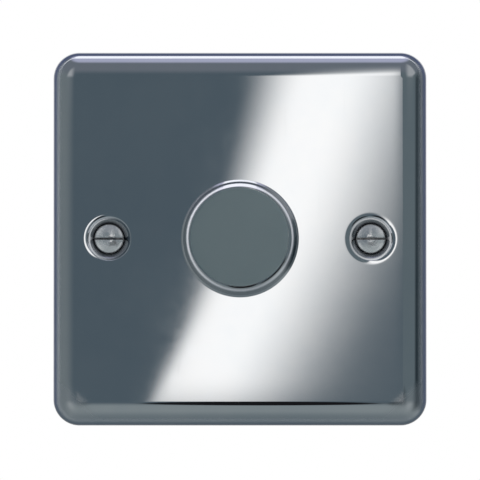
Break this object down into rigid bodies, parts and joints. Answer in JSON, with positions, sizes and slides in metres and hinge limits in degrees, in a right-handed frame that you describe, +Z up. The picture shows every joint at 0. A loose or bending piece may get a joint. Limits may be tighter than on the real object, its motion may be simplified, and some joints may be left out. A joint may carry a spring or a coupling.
{
  "type": "rotary dimmer switch",
  "caption": "Square polished metal wall plate with a round push knob that turns to dim a light, dished slotted fixing screws and a wired dimmer module behind.",
  "frame": {"origin": "centre of the plate's back rim, on the wall plane and on the knob's axis", "axes": "+Z up the wall, +X to the right seen from the front, +Y into the wall, so the face looks along -Y"},
  "size_m": [0.086, 0.0393, 0.086],
  "materials": {
    "polished_steel": "mirror polished, bright",
    "chrome_knob": "mirror polished chrome plate",
    "screw_nickel": "nickel plated, bright",
    "black_moulding": "fine moulded grain",
    "white_moulding": "moulded, satin",
    "nylon": "natural nylon, satin",
    "phenolic": "pressed phenolic, dull",
    "aluminium": "rolled sheet, mill finish",
    "brass": "turned, bright",
    "zinc_steel": "zinc plated",
    "spring_steel": "drawn spring steel",
    "spring_bronze": "rolled bronze strip",
    "copper": "enamelled copper wire",
    "board": "glass laminate with solder resist",
    "ferrite": "fired ferrite, matt",
    "film_capacitor": "resin filled box",
    "small_capacitor": "dipped resin",
    "fuse_ceramic": "ceramic tube with metal ends",
    "resistor": "lacquered film",
    "diac_glass": "glass bead",
    "semiconductor": "moulded epoxy with metal tab"
  },
  "bodies": {
    "base": {"front_plate": "polished_steel", "fixing_screws": "screw_nickel", "backing_frame": "black_moulding", "heat_sink": "aluminium", "case_screws": "zinc_steel", "module_case": "white_moulding", "pot_bush": "brass", "lock_washer": "zinc_steel", "bush_nut": "zinc_steel", "pot_body": "phenolic", "track_wafer": "phenolic", "pot_legs": "brass", "switch_case": "phenolic", "latch_wire": "spring_steel", "switch_contacts": "brass", "switch_spring": "spring_steel", "circuit_board": "board", "suppressor_capacitor": "film_capacitor", "timing_capacitors": "small_capacitor", "fuse": "fuse_ceramic", "resistors": "resistor", "diac": "diac_glass", "choke_core": "ferrite", "choke_winding": "copper", "triac": "semiconductor", "triac_rivet": "aluminium", "terminal_common": "brass", "terminal_line_1": "brass", "terminal_line_2": "brass", "terminal_screws": "zinc_steel", "earth_terminal": "brass", "earth_screw": "zinc_steel"},
    "rotor": {"pot_rotor": "nylon", "wiper": "spring_bronze"},
    "spindle": {"shaft": "zinc_steel", "shaft_clip": "spring_steel", "knob_cap": "chrome_knob", "knob_insert": "nylon", "knob_grip_spring": "spring_steel"},
    "plunger": {"switch_plunger": "nylon", "contact_bridge": "spring_bronze"}
  },
  "joints": [
    {"name": "dimmer_turn", "type": "hinge", "parent": "base", "child": "rotor", "pos_m": [0, 0, 0], "axis": [0, 1, 0], "range_deg": [0, 270]},
    {"name": "knob_push", "type": "slide", "parent": "rotor", "child": "spindle", "axis": [0, 1, 0], "range_m": [0, 0.0012], "stiffness_N_per_m": 1500, "springref_m": -0.002},
    {"name": "plunger_push", "type": "slide", "parent": "base", "child": "plunger", "axis": [0, 1, 0], "range_m": [0, 0.0012], "deforming": ["switch_spring"]}
  ],
  "couplings": [
    {"joint": "plunger_push", "follows": "knob_push", "ratio": 1}
  ]
}
